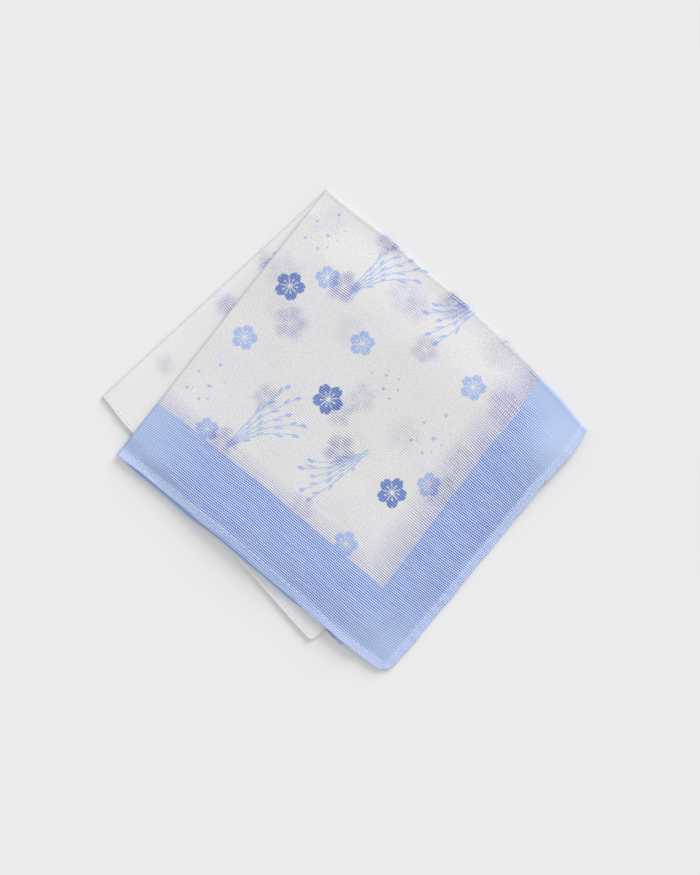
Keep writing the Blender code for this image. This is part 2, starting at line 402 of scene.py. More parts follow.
def second_fold(x, y, z):
    """Turns the pair of layers under itself, about a line across it."""
    past = past_second_fold(x, y)
    radius = SECOND_RADIUS + z
    angle = np.clip(past / SECOND_RADIUS, 0.0, math.pi)
    turning = np.minimum(past, 0.0) + radius * np.sin(angle)
    reach = np.where(angle < math.pi, turning, SECOND_RADIUS * math.pi - past)
    moved = reach - past
    ahead_x, ahead_y = -math.sin(SECOND_FOLD_TILT), math.cos(SECOND_FOLD_TILT)
    return x + ahead_x * moved, y + ahead_y * moved, SECOND_AXIS_HEIGHT + radius * np.cos(angle)


def mirrored(x, y):
    """The place past the second fold that lies over or under a place, both on the flat pair."""
    moved = SECOND_RADIUS * math.pi - 2 * past_second_fold(x, y)
    return x - moved * math.sin(SECOND_FOLD_TILT), y + moved * math.cos(SECOND_FOLD_TILT)


def droop(x, y, on_top):
    """How far a place of the upper pair sinks for want of cloth beneath it."""
    far_x, far_y = mirrored(x, y)
    outside = np.maximum(far_x - FACE_WIDTH, far_y - LENGTH)
    alone = smooth((x - TOP_DROOP_FROM) / TOP_DROOP_REACH)
    alone = alone * smooth(-past_second_fold(x, y) / TOP_DROOP_FROM_FOLD)
    return DROOP * smooth((outside - DROOP_FROM) / DROOP_REACH) + TOP_DROOP * alone * on_top


def rise(x, y):
    """How far the top layer stands above flat at a place."""
    to_fold = -past_second_fold(x, y)
    height = CROWN_HEIGHT * bell(to_fold - CROWN_TO_FOLD, CROWN_REACH)
    for swell in (*SWELLS, FRONT_LIFT):
        far_x = (x / MM - swell.x) / swell.reach_x
        far_y = (y / MM - swell.y) / swell.reach_y
        height = height + swell.height * MM * np.exp(-far_x * far_x - far_y * far_y)
    return height


def flattened(x, y, across, along):
    """The share of its height that a layer keeps: folds press it down, and it sags to the hems."""
    at_second = SECOND_FOLD_PRESS * bell(past_second_fold(x, y), PRESS_REACH)
    at_first = FIRST_FOLD_PRESS * bell(x, PRESS_REACH)
    inwards = np.maximum(np.minimum(*from_edges(across, along)), 0.0)
    at_hem = HEM_SAG * bell(inwards, HEM_SAG_REACH)
    return 1 - np.maximum(np.maximum(at_second, at_first), at_hem)


def folded(across, along, offset):
    """Where points of the flat cloth lie in the folded one, on the middles of the CAD's layers."""
    flat_across, flat_along = across, along
    across, along = shape_hems(*round_corner(across, along))
    x, z = first_fold(across, offset)
    x, y, z = second_fold(x, along, z)
    middle_x, middle_z = first_fold(across, np.zeros_like(offset))
    sunk = droop(middle_x, along, across > 0)
    middle_x, middle_y, middle_z = second_fold(middle_x, along, middle_z)
    layer_share = (middle_z - LOWEST_MIDDLE) / (HIGHEST_MIDDLE - LOWEST_MIDDLE)
    kept = flattened(middle_x, middle_y, flat_across, flat_along)
    height = (middle_z - LOWEST_MIDDLE) * kept
    height = height + layer_share * (rise(middle_x, middle_y) + waves(LAYER_WAVES, x, y, 0))
    z = z - middle_z + height - sunk + CLOTH / 2 + CLEAR_OF_FLOOR
    y = y + stray(SECOND_FOLD_BOW, x) * smooth((y - BOW_FROM) / (BOW_TO - BOW_FROM))
    return np.stack([x, y, np.maximum(z, CLEAR_OF_FLOOR)], axis=-1)


# ---- The cloth's grid, hems and thickness

def evenly(start, end, cell):
    """Even steps from start up to but without end."""
    count = max(1, round(abs(end - start) / cell))
    return [start + (end - start) * step / count for step in range(count)]


def across_stations():
    """Grid lines from the back side hem, around the first fold, to the face side hem."""
    turn = FIRST_RADIUS * math.pi / 2
    hem = [line * MM for line in HEM_LINES]
    return np.array(
        [line - BACK_WIDTH for line in hem[:-1]]
        + evenly(hem[-1] - BACK_WIDTH, -turn, CELL)
        + evenly(-turn, turn, 2 * turn / FIRST_FOLD_CELLS)
        + evenly(turn, FACE_WIDTH - hem[-1], CELL)
        + [FACE_WIDTH - line for line in reversed(hem)]
    )


def along_stations(across):
    """Grid lines from the front hem to the rear hem, for one place across the cloth."""
    hem = [line * MM for line in HEM_LINES]
    cos, sin = math.cos(SECOND_FOLD_TILT), math.sin(SECOND_FOLD_TILT)
    turn_start = (SECOND_FOLD_AT + abs(across) * sin) / cos
    turn_end = turn_start + SECOND_RADIUS * math.pi / cos
    rear_start = LENGTH - hem[-1]
    stretches = (
        (hem[-1], turn_start, CELL / SECOND_FOLD_AT),
        (turn_start, turn_end, 1.0 / SECOND_FOLD_CELLS),
        (turn_end, rear_start, CELL / (LENGTH - SECOND_FOLD_AT)),
    )
    inner = [
        start + (end - start) * share
        for start, end, cell in stretches
        for share in evenly(0.0, 1.0, cell)
    ]
    return np.array(hem[:-1] + inner + [LENGTH - line for line in reversed(hem)])


def from_edges(across, along):
    """Distances inwards from the bordered edges, front and face side, and from the plain ones."""
    bordered = np.minimum(along, FACE_WIDTH - across)
    plain = np.minimum(LENGTH - along, BACK_WIDTH + across)
    return bordered, plain


def hem_extra(across, along):
    """Thickness that the hems add, less the dip along each row of stitches."""
    bordered, plain = from_edges(across, along)
    wide = WIDE_HEM_EXTRA * smooth((WIDE_HEM + HEM_STEP / 2 - bordered) / HEM_STEP)
    narrow = NARROW_HEM_EXTRA * smooth((NARROW_HEM + HEM_STEP / 2 - plain) / HEM_STEP)
    to_seam = np.minimum(np.abs(bordered - WIDE_SEAM), np.abs(plain - NARROW_SEAM))
    return np.maximum(wide, narrow) - SEAM_DIP * bell(to_seam, SEAM_DIP_REACH)


def pucker(across, along):
    """Small gathers across the hems, strongest at the edges."""
    bordered, plain = from_edges(across, along)
    run = np.where(along < FACE_WIDTH - across, across, along)
    run = np.where(bordered < plain, run, across + along)
    share = bell(np.minimum(bordered, plain), PUCKER_REACH * WIDE_HEM)
    short, long = PUCKER_BEATS
    uneven = 1 + PUCKER_UNEVEN * np.sin(run / short) * np.sin(run / long + 1)
    return PUCKER_HEIGHT * share * uneven * np.sin(2 * math.pi * run / PUCKER_LENGTH)


def strayed_edges(across, along):
    """Small unevenness of the edges in the cloth's own plane, faded out inwards."""
    bordered, plain = from_edges(across, along)
    fade = np.exp(-np.minimum(bordered, plain) / EDGE_WAVE_REACH)
    across_out = waves(EDGE_WAVES, along, along * 0, 1) * fade * np.sign(across)
    along_out = waves(EDGE_WAVES, across, across * 0, 2) * fade * np.sign(along - LENGTH / 2)
    to_side = np.minimum(FACE_WIDTH - across, BACK_WIDTH + across)
    at_side = to_side < np.minimum(along, LENGTH - along)
    return across + np.where(at_side, across_out, 0), along + np.where(at_side, 0, along_out)


def surface(across, along, side, proud=0.0):
    """A point on the cloth's printed face (side 1), its back (side -1) or its middle (side 0)."""
    extra = hem_extra(across, along)
    on_face = CLOTH / 2 + extra * HEM_ON_FACE
    on_back = CLOTH / 2 + extra * (1 - HEM_ON_FACE)
    offset = np.where(side > 0, on_face + proud, np.where(side < 0, -on_back - proud, 0.0))
    offset = offset + pucker(across, along)
    return folded(*strayed_edges(across, along), offset)


# ---- Meshes

def unshape_hems(across, along, side):
    """The cloth coordinates that shape_hems brings to a place, on one side of the first fold."""
    just_inside = side * 0.1 * MM
    found_across, found_along = across, along
    for _ in range(4):
        inside = np.where(side * found_across > 0, found_across, just_inside)
        shaped_across, shaped_along = shape_hems(inside, found_along)
        found_across = found_across + across - (shaped_across + found_across - inside)
        found_along = found_along + along - shaped_along
    return found_across, found_along


def places_beneath(across, along):
    """Cloth coordinates of the three other layers at the same place of the folded cloth.

    The first is the other layer of the pair, then come the two across the second fold.
    """
    side = np.where(across < 0, -1.0, 1.0)
    across, along = shape_hems(*round_corner(across, along))
    x = np.abs(across)
    far_x, far_y = mirrored(x, along)
    return (
        unshape_hems(-side * x, along, -side),
        unshape_hems(-side * far_x, far_y, -side),
        unshape_hems(side * far_x, far_y, side),
    )


def packed_map(across, along, side):
    """The two faces of the cloth one above the other in the unit square."""
    u = (across + BACK_WIDTH) / (FACE_WIDTH + BACK_WIDTH)
    v = along / LENGTH
    margin = 0.006
    half = 0.5 - 2 * margin
    return (
        margin + (1 - 2 * margin) * u,
        np.where(side > 0, margin + half * v, 1 - margin - half * v),
    )


def new_mesh_object(name, points, faces, material):
    data = bpy.data.meshes.new(name)
    data.from_pydata(points.tolist(), [], faces)
    data.materials.append(material)
    data.shade_smooth()
    made = bpy.data.objects.new(name, data)
    bpy.context.scene.collection.objects.link(made)
    return made


def add_map(data, name, u, v):
    """A UV map from values at the vertices."""
    corners = np.zeros(len(data.loops), dtype=np.int32)
    data.loops.foreach_get("vertex_index", corners)
    layer = data.uv_layers.new(name=name)
    layer.uv.foreach_set("vector", np.stack([u, v], axis=-1)[corners].astype(np.float32).ravel())


def make_cloth(material):
    """The thin sheet: a grid for each face and a rounded rim between them."""
    stations = across_stations()
    along = np.stack([along_stations(value) for value in stations])
    across = np.repeat(stations[:, None], along.shape[1], axis=1)
    columns, rows = across.shape
    across, along = across.ravel(), along.ravel()
    ones = np.ones_like(across)
    place = np.arange(columns * rows).reshape(columns, rows)
    edge = np.concatenate([place[:-1, 0], place[-1, :-1], place[:0:-1, -1], place[0, :0:-1]])
    face_points = surface(across, along, ones)
    back_points = surface(across, along, -ones)
    inward = 1.0 - 2 * EDGE_ROUNDING / LENGTH
    middle = surface(across[edge], along[edge], 0 * ones[edge])
    centre_across = (FACE_WIDTH - BACK_WIDTH) / 2
    inner = surface(
        centre_across + (across[edge] - centre_across) * inward,
        LENGTH / 2 + (along[edge] - LENGTH / 2) * inward,
        0 * ones[edge],
    )
    rim_points = 2 * middle - inner
    points = np.concatenate([face_points, back_points, rim_points])
    first, last = place[:-1, :-1], place[1:, 1:]
    quads = np.stack([first, place[1:, :-1], last, place[:-1, 1:]], axis=-1).reshape(-1, 4)
    count = columns * rows
    rim = 2 * count + np.arange(len(edge))
    next_edge, next_rim = np.roll(edge, -1), np.roll(rim, -1)
    faces = np.concatenate([
        quads,
        quads[:, ::-1] + count,
        np.stack([edge, rim, next_rim, next_edge], axis=-1),
        np.stack([rim, edge + count, next_edge + count, next_rim], axis=-1),
    ])
    cloth = new_mesh_object("gauze_cloth", points, faces.tolist(), material)

    data = cloth.data
    all_across = np.concatenate([across, across, across[edge]])
    all_along = np.concatenate([along, along, along[edge]])
    side = np.concatenate([ones, -ones, ones[edge]])
    add_map(data, "cloth", all_across, all_along)
    for layer, places in zip(LAYERS_BENEATH, places_beneath(all_across, all_along)):
        add_map(data, layer.uv_map, *places)
    add_map(data, "OFBake", *packed_map(all_across, all_along, side))
    printed = data.attributes.new("printed", "FLOAT", "POINT")
    printed.data.foreach_set("value", np.maximum(side, 0).astype(np.float32))
    return cloth


def seam_runs():
    """Start, direction and length of each straight row of stitches, in cloth coordinates."""
    left, right = NARROW_SEAM - BACK_WIDTH, FACE_WIDTH - WIDE_SEAM
    front, rear = WIDE_SEAM, LENGTH - NARROW_SEAM
    return (
        ((left, front), (1, 0), right - left),
        ((right, front), (0, 1), rear - front),
        ((right, rear), (-1, 0), right - left),
        ((left, rear), (0, -1), rear - front),
    )


def stitch_points():
    """Rings of points for every stitch, on both faces, and the face that each point is on."""
    along_bar = np.linspace(-1, 1, STITCH_RINGS)[:, None]
    around = np.arange(STITCH_SIDES) * 2 * math.pi / STITCH_SIDES
    swell = np.sqrt(np.maximum(1 - along_bar ** 2, STITCH_END))
    wide = STITCH_RADIUS * swell * np.cos(around) + STITCH_LEAN * along_bar
    tall = STITCH_RADIUS * (swell * np.sin(around) + STITCH_ARCH * swell - STITCH_SUNK)
    across, along, proud, side = [], [], [], []
    for number, (start, (go_across, go_along), length) in enumerate(seam_runs()):
        count = int(length / STITCH_PITCH)
        for index in range(count):
            jitter = STITCH_JITTER * math.sin(2.7 * index + number)
            for face, shift in ((1, 0.0), (-1, 0.5)):
                centre = (index + 0.5 + shift + jitter) * length / (count + 0.5)
                run = centre + along_bar * STITCH_LENGTH / 2
                across.append(start[0] + go_across * run - go_along * wide)
                along.append(start[1] + go_along * run + go_across * wide)
                proud.append(tall)
                side.append(np.full(tall.shape, face))
    across, along, proud, side = (
        np.concatenate(parts).ravel() for parts in (across, along, proud, side)
    )
    return surface(across, along, side, proud), side


def make_stitches(material):
    """Every stitch is a short round bar that dips into the cloth at its ends."""
    points, side = stitch_points()
    ring = np.arange(STITCH_SIDES)
    rings = np.arange(STITCH_RINGS - 1)[:, None] * STITCH_SIDES
    a, b = rings + ring, rings + np.roll(ring, -1)
    walls = np.stack([a, b, b + STITCH_SIDES, a + STITCH_SIDES], axis=-1).reshape(-1, 4)
    bar = STITCH_RINGS * STITCH_SIDES
    solid = [*walls.tolist(), ring[::-1].tolist(), (ring + bar - STITCH_SIDES).tolist()]
    faces = []
    for first in range(0, len(points), bar):
        step = 1 if side[first] > 0 else -1
        faces += [[first + corner for corner in face[::step]] for face in solid]
    return new_mesh_object("hem_stitches", points, faces, material)


def centre_pieces(pieces):
    """Puts the origin under the middle of the cloth's footprint, as in the CAD."""
    low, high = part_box("handkerchief")
    cad_middle = [(low[axis] + high[axis]) / 2 for axis in (0, 1)]
    grid = np.array([vertex.co[:2] for vertex in pieces[0].data.vertices])
    middle = (grid.min(axis=0) + grid.max(axis=0)) / 2
    for piece in pieces:
        for vertex in piece.data.vertices:
            vertex.co.x += cad_middle[0] - middle[0]
            vertex.co.y += cad_middle[1] - middle[1]


# ---- Nodes written as expressions

def joined(operation, swapped=False):
    """A method that makes a math node of a field and another value."""
    def join(self, other):
        values = (other, self) if swapped else (self, other)
        return calc(operation, *values)
    return join


class Field:
    """A value that varies over the surface: sums and products of fields make math nodes."""

    __add__, __radd__ = joined("ADD"), joined("ADD", swapped=True)
    __sub__, __rsub__ = joined("SUBTRACT"), joined("SUBTRACT", swapped=True)
    __mul__, __rmul__ = joined("MULTIPLY"), joined("MULTIPLY", swapped=True)
    __truediv__, __rtruediv__ = joined("DIVIDE"), joined("DIVIDE", swapped=True)

    def __init__(self, graph, socket):
        self.graph = graph
        self.socket = socket

    def __abs__(self):
        return calc("ABSOLUTE", self)


class Graph:
    """One material's nodes."""

    def __init__(self, name):
        self.material = bpy.data.materials.new(name)
        self.material.use_nodes = True
        self.tree = self.material.node_tree
        self.shader = self.tree.nodes["Principled BSDF"]

    def fill(self, node, inputs):
        """Links or sets a node's inputs, which go by name or number."""
        for key, value in inputs.items():
            if isinstance(value, Field):
                self.tree.links.new(value.socket, node.inputs[key])
            else:
                colour = isinstance(value, tuple)
                node.inputs[key].default_value = (*value, 1.0) if colour else value

    def fields(self, kind, inputs, outputs=(0,), **settings):
        """Some outputs of a new node."""
        made = self.tree.nodes.new("ShaderNode" + kind)
        for name, value in settings.items():
            setattr(made, name, value)
        self.fill(made, inputs)
        return [Field(self, made.outputs[key]) for key in outputs]

    def uv(self, name):
        """The two coordinates of a UV map, in mm."""
        [place] = self.fields("UVMap", {}, uv_map=name)
        x, y = self.fields("SeparateXYZ", {0: place}, outputs=(0, 1))
        return x / MM, y / MM


def field_of(kind, inputs, output=0, **settings):
    """One output of a new node in the graph of its inputs. One of these, at least, is a field."""
    graph = next(value.graph for value in inputs.values() if isinstance(value, Field))
    return graph.fields(kind, inputs, (output,), **settings)[0]


def calc(operation, *values):
    return field_of("Math", dict(enumerate(values)), operation=operation)


def largest(*values):
    result = values[0]
    for value in values[1:]:
        result = calc("MAXIMUM", result, value)
    return result


def capped(value, limit=1.0):
    return calc("MINIMUM", value, limit)


def length_of(x, y):
    return calc("SQRT", x * x + y * y)


def ramp(value, low, high, start=0.0, end=1.0):
    """Goes smoothly from start at low to end at high. High may be the lesser."""
    inputs = dict(enumerate((value, low, high, start, end)))
    return field_of("MapRange", inputs, interpolation_type="SMOOTHSTEP")


def under(value, limit, soft):
    """1 where value is under limit, with a soft edge."""
    return ramp(value, limit + soft, limit - soft)


def scaled_place(x, y, size_x, size_y):
    return field_of("CombineXYZ", {0: x / size_x, 1: y / size_y})


def noise(x, y, size_x, size_y=None, detail=2.0):
    """Noise from 0 to 1, mostly near a half, with blots of about the given size in mm."""
    place = scaled_place(x, y, size_x, size_y or size_x)
    inputs = {"Vector": place, "Scale": 1.0, "Detail": detail}
    return field_of("TexNoise", inputs, noise_dimensions="2D")


def mix(share, first, second, blend="MIX"):
    """Goes from the first colour to the second, or to their product, by share."""
    inputs = {0: share, 6: first, 7: second}
    return field_of("Mix", inputs, output=2, data_type="RGBA", blend_type=blend)


def stain(share, colour, by):
    return mix(share, colour, by, "MULTIPLY")


def mix_value(share, first, second):
    return first + share * (second - first)


# ---- The print

def turned(x, y, degrees):
    """Coordinates turned back by an angle."""
    cos, sin = math.cos(math.radians(degrees)), math.sin(math.radians(degrees))
    return x * cos + y * sin, y * cos - x * sin


def side_border_edge(along):
    return SIDE_BORDER_FROM - SIDE_BORDER_DRIFT * capped(along, SIDE_BORDER_STRAIGHT)


def border_ink(across, along, soft):
    """The plain border along the front edge and the face side edge."""
    at_side = ramp(across - side_border_edge(along), -soft, soft)
    at_front = under(along, FRONT_BORDER, soft)
    return largest(at_side, at_front)


def repeat_place(across, along):
    """Coordinates within one repeat. Every second column drops by half."""
    column = calc("FLOOR", across / REPEAT_ACROSS)
    in_across = across - column * REPEAT_ACROSS
    dropped = along + column * (REPEAT_ALONG / 2)
    return in_across, calc("FLOORED_MODULO", dropped, REPEAT_ALONG)


def nearest_blossom(x, y):
    """Distance to the nearest blossom's centre, then its offsets, radius, turn and darkness."""
    nearest = chosen = None
    for blossom in BLOSSOMS:
        off_x, off_y = x - blossom.across, y - blossom.along
        far = length_of(off_x, off_y)
        here = (off_x, off_y, blossom.radius, blossom.turn, blossom.dark)
        if chosen is None:
            nearest, chosen = far, here
            continue
        closer = calc("LESS_THAN", far, nearest)
        nearest = capped(far, nearest)
        chosen = [mix_value(closer, old, new) for old, new in zip(chosen, here)]
    return nearest, *chosen


def blossom_inks(x, y, along, soft, fine):
    """Dark and light ink of five-petalled blossoms with pale eyes and slits."""
    far, off_x, off_y, radius, turn, dark = nearest_blossom(x, y)
    angle = calc("ARCTAN2", off_y, off_x) + turn * math.radians(1)
    sector = 2 * math.pi / PETALS
    in_sector = calc("FLOORED_MODULO", angle, sector) - sector / 2
    petal_x = far * calc("COSINE", in_sector) - radius * PETAL_CENTRE
    aside = far * calc("SINE", in_sector)
    to_petal = calc("SQRT", petal_x * petal_x + aside * aside * PETAL_SLIMNESS)

    def inside(value, limit):
        return under(value, limit, soft)

    def within(share):
        return inside(far - radius * share, 0.0)

    petals = inside(to_petal - radius * PETAL_RADIUS, 0.0)
    ink = petals * calc("LESS_THAN", along - off_y, PRINT_END)
    if fine:
        aside = abs(aside)
        notch = inside(aside - NOTCH_SPREAD * (far - radius * NOTCH_FROM), 0.0)
        to_slit = far * calc("SINE", sector / 2 - abs(in_sector))
        slit = inside(to_slit, SLIT_WIDTH) * within(SLIT_REACH)
        stamen = inside(aside, STAMEN_WIDTH) * within(STAMEN_REACH)
        tip = inside(length_of(far - radius * TIP_AT, aside), TIP_WIDTH)
        ink = ink * (1 - largest(within(EYE_RADIUS), slit, stamen, tip, notch))
    return ink * dark, ink * (1 - dark)


def spray_ink(x, y, along, spray, soft):
    """Thin stems that part from one root by even steps of curvature, with small leaves and buds."""
    off_x, off_y = turned(x - spray.across, y - spray.along, -spray.heading)
    squared = off_x * off_x + off_y * off_y
    far = calc("SQRT", squared)
    curvature = 2 * off_x / squared - STRAIGHTEST_STEM
    stem = calc("ROUND", curvature / STEM_CURVATURE)
    stem = capped(largest(stem, 0), STEMS - 1)
    aside = (curvature - stem * STEM_CURVATURE) * squared * 0.5
    swing = STEM_REACH_SWING * calc("SINE", stem * 2.4)
    reach = spray.reach - STEM_SHORTER * stem + swing
    start = STEM_START + STEM_START_SWING * calc("SINE", stem * 1.9)

    def before_tip(by):
        return under(far - reach, -by, soft)

    taper = ramp(far, reach, reach * STEM_TAPER_FROM, STEM_TIP_WIDTH, 1.0)
    line = under(abs(aside) - 0.5 * STEM_WIDTH * taper, 0.0, soft)
    line = line * before_tip(0.0) * under(start - far, 0.0, 2 * soft)
    staggered = far + stem * LEAF_STAGGER
    leaf_number = calc("ROUND", staggered / LEAF_PITCH)
    leaf_run = (staggered - leaf_number * LEAF_PITCH) / LEAF_LENGTH
    leaf_side = 1 - 2 * calc("FLOORED_MODULO", leaf_number, 2.0)
    leaf_aside = (aside - leaf_side * (LEAF_ASIDE + LEAF_SLANT * leaf_run)) / LEAF_WIDTH
    leaf = under(length_of(leaf_run, leaf_aside), 1.0, soft)
    leaf = leaf * ramp(far, reach * LEAVES_FROM, reach * LEAVES_FULL_FROM)
    leaf = leaf * before_tip(LEAVES_END)
    bud = under(length_of((far - reach) / BUD_LENGTH, aside), 1.0, soft)
    ahead = calc("GREATER_THAN", off_y, 0.0)
    kept = calc("LESS_THAN", along - y + spray.along, PRINT_END)
    return largest(line, leaf, bud) * ahead * kept


def dot_ink(x, y, soft):
    """Small scattered dots in a few loose clusters."""
    inputs = {"Vector": scaled_place(x, y, DOT_CELL, DOT_CELL), "Scale": 1.0}
    outputs = ("Distance", "Color")
    far, colour = x.graph.fields("TexVoronoi", inputs, outputs, voronoi_dimensions="2D")
    chance, size = x.graph.fields("SeparateColor", {0: colour}, outputs=(0, 1))
    dots = under(far * DOT_CELL - (DOT_RADIUS + DOT_GROWTH * size), 0.0, soft)
    near = None
    for cluster in CLUSTERS:
        run_x = (x - cluster.across) / cluster.reach_across
        run_y = (y - cluster.along) / cluster.reach_along
        inside = 1 - (run_x * run_x + run_y * run_y)
        near = inside if near is None else largest(near, inside)
    kept = calc("LESS_THAN", chance, ramp(near, -0.25, 0.7, 0.0, 0.8))
    return dots * kept


def print_inks(across, along, soft, fine):
    """Shares of border, dark and light ink at a place on the cloth."""
    border = border_ink(across, along, soft)
    x, y = repeat_place(across, along)
    dark, light = blossom_inks(x, y, along, soft, fine)
    if fine:
        for spray in SPRAYS:
            stems = spray_ink(x, y, along, spray, soft)
            light = largest(light, (1 - dark) * stems)
        dots = dot_ink(x, y, soft) * calc("LESS_THAN", along, PRINT_END)
        light = largest(light, dots)
    field = 1 - border
    return border, dark * field, light * field


def on_layer(across, along, side, soft):
    """1 on the part of the flat cloth that is on one side of the first fold, 0 elsewhere."""
    width = ((FACE_WIDTH + BACK_WIDTH) + side * (FACE_WIDTH - BACK_WIDTH)) / 2 / MM
    outwards = across * side
    inside_across = ramp(outwards, -soft, soft) * under(outwards - width, 0.0, soft)
    inside_along = ramp(along, -soft, soft) * under(along, LENGTH / MM, soft)
    return inside_across * inside_along


# ---- Materials

def weave_fields(across, along):
    """Rows and columns of threads, 0 in a gap and 1 on a thread, and crossings that alternate."""
    drift = noise(across, along, WEAVE_DRIFT_SIZE, detail=1.0) - 0.5
    row_at = along + drift * ROW_DRIFT
    column_at = across + drift * COLUMN_DRIFT
    row_slub = noise(across, along, ROW_SLUB.across, ROW_SLUB.along) - 0.5
    column_slub = noise(across, along, COLUMN_SLUB.across, COLUMN_SLUB.along) - 0.5
    row_turn = (row_at + row_slub * ROW_SLUB.shift) * (math.pi / ROW_PITCH)
    column_turn = (column_at + column_slub * COLUMN_SLUB.shift) * (2 * math.pi / COLUMN_PITCH)
    column_wave = calc("COSINE", column_turn)
    rows = ramp(calc("COSINE", row_turn * 2), THREAD_FROM, THREAD_FULL)
    columns = ramp(column_wave, THREAD_FROM, THREAD_FULL)
    return rows, columns, column_wave * calc("SINE", row_turn)


def hem_share(across, along):
    """How far a place has the paler colour of the doubled hems.

    The front hem has it most towards its ends, near the first fold partly as painted light. The hem
    beneath it lacks it, which leaves that hem darker as part of the painted shadow there.
    """
    uneven = (noise(across, along, 2.5) - 0.5) * 0.9
    # Near the first fold this share is partly painted light, where the drooping front hem slopes
    # away from the light.
    from_first_fold = ramp(across, 100, 28, 0.12, 1.1)
    to_corner = ramp(across, 85, 165, 0.15, 1.1)
    towards_ends = largest(from_first_fold, to_corner)
    # Not on the hem beneath: left darker as part of the painted shadow there.
    towards_ends = towards_ends * calc("GREATER_THAN", across, 0.0)
    at_front = under(along + uneven, FRONT_HEM_SEEN, 1.1) * towards_ends
    from_side = FACE_WIDTH / MM - across
    at_side = under(from_side + uneven, SIDE_HEM_SEEN, 1.6)
    from_crest = abs(abs(from_side - SIDE_HEM_TROUGH) - SIDE_HEM_TROUGH)
    at_side = at_side * ramp(from_crest, 0.4, 1.5, 1.0, 0.75)
    at_side = at_side * ramp(along, 60, 115, 0.72, 1.0)
    return largest(at_front, at_side)


def from_second_fold(across, along):
    """Distance along the cloth from the outermost line of the second fold, in mm."""
    apex = (SECOND_FOLD_AT + SECOND_RADIUS * math.pi / 2) / MM
    return abs(along - apex + abs(across) * math.tan(-SECOND_FOLD_TILT))


def paling_and_highlight(across, along, to_fold):
    """Shares of paler dye and smoother weave near the folds and corners; at the second fold,
    painted highlight.
    """
    from_side = across - FACE_WIDTH / MM
    to_corner = length_of(from_side, along)
    to_end = length_of(from_side, along - PALING_END_ALONG)
    shares = [
        (ramp(far, paling_place.none_at, paling_place.full_at), paling_place)
        for far, paling_place in zip((abs(across), to_fold, to_corner, to_end), PALING_PLACES)
    ]
    paler = largest(*(share * paling_place.paler for share, paling_place in shares))
    smoother = largest(*(share * paling_place.smoother for share, paling_place in shares))
    return paler, smoother


def seen_through(across, along, border):
    """How much of the print on the three layers beneath shows. Each layer down is softer."""
    wander_x = noise(across, along, 5) - 0.5
    wander_y = noise(across, along + 51, 5) - 0.5
    on_face = calc("GREATER_THAN", across, 0.0)
    through = 0.0
    for layer in LAYERS_BENEATH:
        under_across, under_along = across.graph.uv(layer.uv_map)
        here_across = under_across + wander_x * BENEATH_WANDER
        here_along = under_along + wander_y * BENEATH_WANDER
        edge, dark, light = print_inks(here_across, here_along, layer.soft, fine=False)
        seen = ramp(here_along, BORDER_SEEN.nothing_at, BORDER_SEEN.full_from)
        seen = seen * ramp(here_along, BORDER_SEEN.nothing_from, BORDER_SEEN.full_to)
        dye = edge * seen * layer.border + dark * layer.dark + light * layer.light
        side = 1 - 2 * on_face if layer.flips else 2 * on_face - 1
        through = through + dye * on_layer(under_across, under_along, side, layer.soft)
    for blot in STRIP_BLOTS:
        off_x = across + wander_x * BLOT_WANDER - blot.across
        off_y = along + wander_y * BLOT_WANDER - blot.along
        far = length_of(off_x, off_y)
        through = through + ramp(far, blot.reach, 0.2 * blot.reach, 0.0, blot.share)
    return through * (1 - 0.85 * border)


def bleed_share(across, along, border):
    """Dye that has crept out of the border, less with the distance from it."""
    from_side = side_border_edge(along) - across
    at_side = (1 - from_side / SIDE_BLEED.reach) * SIDE_BLEED.strength
    at_front = (1 - (along - FRONT_BORDER) / FRONT_BLEED.reach) * FRONT_BLEED.strength
    at_front = at_front * calc("GREATER_THAN", across, 0.0)
    patches = ramp(noise(across + 90, along, 17), 0.35, 0.65, 0.9, 1.0)
    return largest(at_side, at_front, 0.0) * patches * (1 - border)


def crispness(across, along, border, printed, by_dye, bleed, smoother):
    """How crisp the weave is.

    It softens in patches, at the paled places, towards the top of the white field, and on the
    plainer side of the first fold.
    """
    patches = ramp(noise(across, along, 24, 17), 0.36, 0.64, 0.2, 1.0)
    in_field = patches * ramp(along, 35, 120, 1.0, 0.40)
    in_field = capped(in_field + by_dye + 1.5 * bleed + 0.7 * printed)
    crisp = mix_value(border, in_field, 1.0) * (1 - 0.75 * smoother)
    plainer_side = ramp(across, -3, 3, 0.18, 1.0)
    return capped(crisp * largest(plainer_side, 2.0 * by_dye))


def thread_height(across, along, weave, border, hem, by_dye, crisp, grain):
    """From 0 in the gaps between threads to about 1 on their crowns."""
    rows, columns, crossings = weave
    slub = noise(across, along, 14, 0.9) + noise(across, along, 2.2)
    strokes = noise(across, along, 1.4, 0.38, detail=0.5)
    strokes = strokes + noise(across + 19, along, 0.38, 1.4, detail=0.5) - 1
    turned_over = ramp(noise(across + 60, along, 15, 21), 0.46, 0.56, 0.0, 0.75)
    turned_over = turned_over * (1 - border) * ramp(along, 55, 110) * (1 - by_dye)
    thread = mix_value(turned_over, rows, columns) + CROSSING_SHARE * crossings
    thread = thread + SLUB_SHARE * (slub - 1) + STROKE_SHARE * strokes
    thread = mix_value(hem * 0.45, thread, 2.0 * grain - 0.5)
    smoothed = ramp(across, -3, 3, 0.72, SMOOTHED_THREAD)
    thread = mix_value(crisp, smoothed, thread)
    loose = (1 - border) * (1 - crisp) * ramp(across, -3, 3, 0.3, 1.0)
    return thread + LOOSE_STROKE_SHARE * strokes * loose


